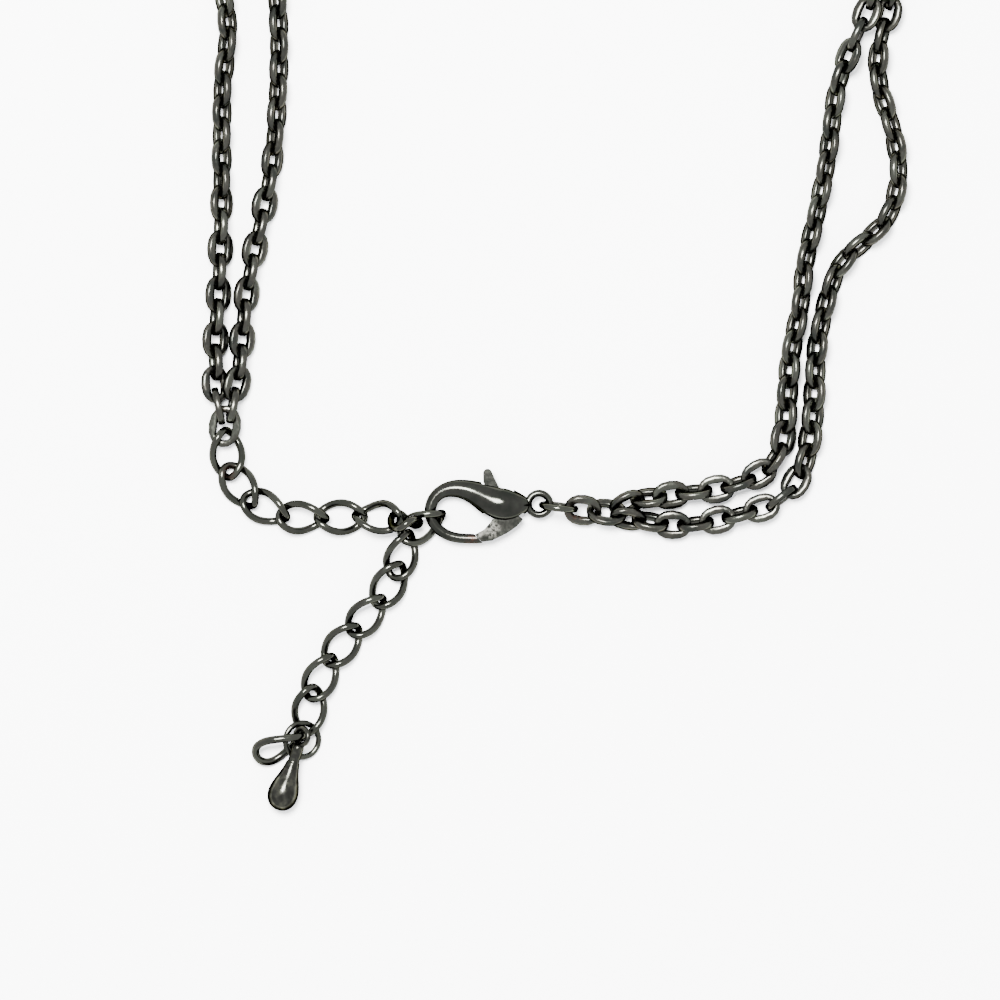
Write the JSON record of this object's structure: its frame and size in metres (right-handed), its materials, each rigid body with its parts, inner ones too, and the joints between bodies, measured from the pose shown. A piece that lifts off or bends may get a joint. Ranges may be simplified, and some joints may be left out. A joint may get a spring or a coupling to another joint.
{
  "type": "two-strand cable chain necklace with lobster clasp and extender",
  "caption": "Dark plated layered necklace of two cable chains on one lobster clasp, with a curb link extender that ends in a small drop",
  "frame": {"origin": "Middle of the box in plan, on the surface the necklace lies on", "axes": "+X right and +Y up in the picture, +Z out of the surface"},
  "size_m": [0.0848, 0.1912, 0.0052],
  "materials": {
    "dark_plate": "polished",
    "satin_plate": "satin"
  },
  "bodies": {
    "necklace": {"inner_strand": "dark_plate", "outer_strand": "dark_plate", "outer_strand_back": "dark_plate", "clasp_body": "dark_plate", "clasp_ring": "dark_plate", "shared_link_a": "dark_plate", "shared_link_b": "dark_plate", "connecting_link": "dark_plate", "extender_link_1": "dark_plate", "extender_link_2": "dark_plate", "extender_link_3": "dark_plate", "extender_link_4": "dark_plate", "extender_link_5": "dark_plate", "extender_link_6": "dark_plate", "extender_link_7": "dark_plate", "extender_link_8": "dark_plate", "extender_link_9": "dark_plate", "extender_link_10": "dark_plate", "extender_link_11": "dark_plate", "extender_link_12": "dark_plate", "extender_link_13": "dark_plate", "extender_link_14": "dark_plate", "end_ring": "dark_plate", "leaf_link": "dark_plate", "drop": "satin_plate"},
    "lever": {"clasp_lever": "dark_plate"}
  },
  "joints": [
    {"name": "clasp_lever_pivot", "type": "hinge", "parent": "necklace", "child": "lever", "pos_m": [-0.00896, -0.06754, 0.00148], "axis": [0, 0, -1], "range_deg": [0, 25], "stiffness_Nm_per_rad": 0.002, "springref_deg": -20.05}
  ]
}
